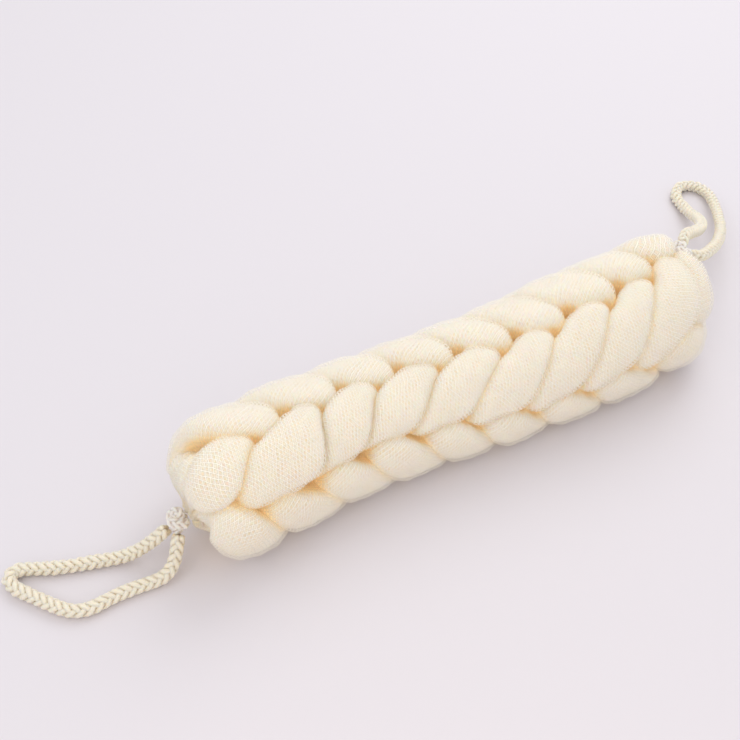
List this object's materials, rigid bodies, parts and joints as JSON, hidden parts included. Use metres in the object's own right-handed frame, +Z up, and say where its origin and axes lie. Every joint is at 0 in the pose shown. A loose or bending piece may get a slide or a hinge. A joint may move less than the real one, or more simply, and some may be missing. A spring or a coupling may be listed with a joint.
{
  "type": "braided net back scrubber",
  "caption": "Long back scrubber of puffy bath-net tubes braided into a round body, with a rope hand loop tied on at each end.",
  "frame": {"origin": "on the surface the scrubber lies on, at the middle of the net body's bounding box", "axes": "+X along the body from the left neck to the right neck, +Y across it, +Z up from the surface"},
  "size_m": [0.6479, 0.1877, 0.0836],
  "materials": {
    "net": "fine open cream nylon net, slightly glossy",
    "rope": "cream braided rope, soft sheen",
    "thread": "beige binding thread"
  },
  "bodies": {
    "net_body": {"net_strand_1_right_hand": "net", "net_strand_2_left_hand": "net", "net_strand_3_right_hand": "net", "net_strand_4_left_hand": "net", "net_strand_5_right_hand": "net", "net_strand_6_left_hand": "net", "net_strand_7_right_hand": "net", "net_strand_8_left_hand": "net", "left_neck_lashing": "thread", "right_neck_lashing": "thread"},
    "left_knot": {"left_rope_knot": "rope"},
    "right_knot": {"right_rope_knot": "rope"},
    "left_loop": {"left_rope_loop": "rope"},
    "right_loop": {"right_rope_loop": "rope"}
  },
  "joints": [
    {"name": "left_loop_sideways", "type": "hinge", "parent": "net_body", "child": "left_knot", "pos_m": [-0.2083, -0.0052, 0.031], "axis": [0, 0, 1], "range_deg": [-30, 30]},
    {"name": "left_loop_up_down", "type": "hinge", "parent": "left_knot", "child": "left_loop", "pos_m": [-0.2083, -0.0052, 0.031], "axis": [0, 1, 0], "range_deg": [-15, 90]},
    {"name": "right_loop_sideways", "type": "hinge", "parent": "net_body", "child": "right_knot", "pos_m": [0.2084, 0.0269, 0.055], "axis": [0, 0, 1], "range_deg": [-30, 30]},
    {"name": "right_loop_up_down", "type": "hinge", "parent": "right_knot", "child": "right_loop", "pos_m": [0.2084, 0.0269, 0.055], "axis": [0.6181, -0.7861, 0], "range_deg": [-15, 90]}
  ]
}
